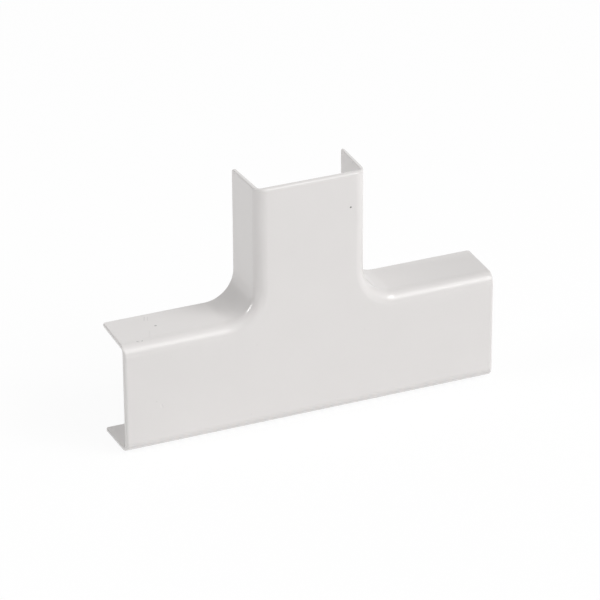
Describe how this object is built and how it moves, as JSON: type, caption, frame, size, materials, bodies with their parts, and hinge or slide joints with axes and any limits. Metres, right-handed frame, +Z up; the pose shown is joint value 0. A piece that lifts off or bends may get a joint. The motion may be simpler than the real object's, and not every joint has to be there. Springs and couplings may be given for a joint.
{
  "type": "trunking tee fitting",
  "caption": "Flat tee cover for surface trunking: an open-backed moulded shell that clips over a straight run and the branch leaving it at right angles.",
  "frame": {"origin": "on the back rim, in the plane of the wall, at the middle of the lower wall's length and thickness", "axes": "+X along the run, +Y from the front face into the wall it is fixed to, +Z up the branch"},
  "size_m": [0.1186, 0.0175, 0.0773],
  "materials": {
    "moulding": "satin white moulded PVC"
  },
  "bodies": {
    "root": {"tee_cover": "moulding"}
  },
  "joints": []
}
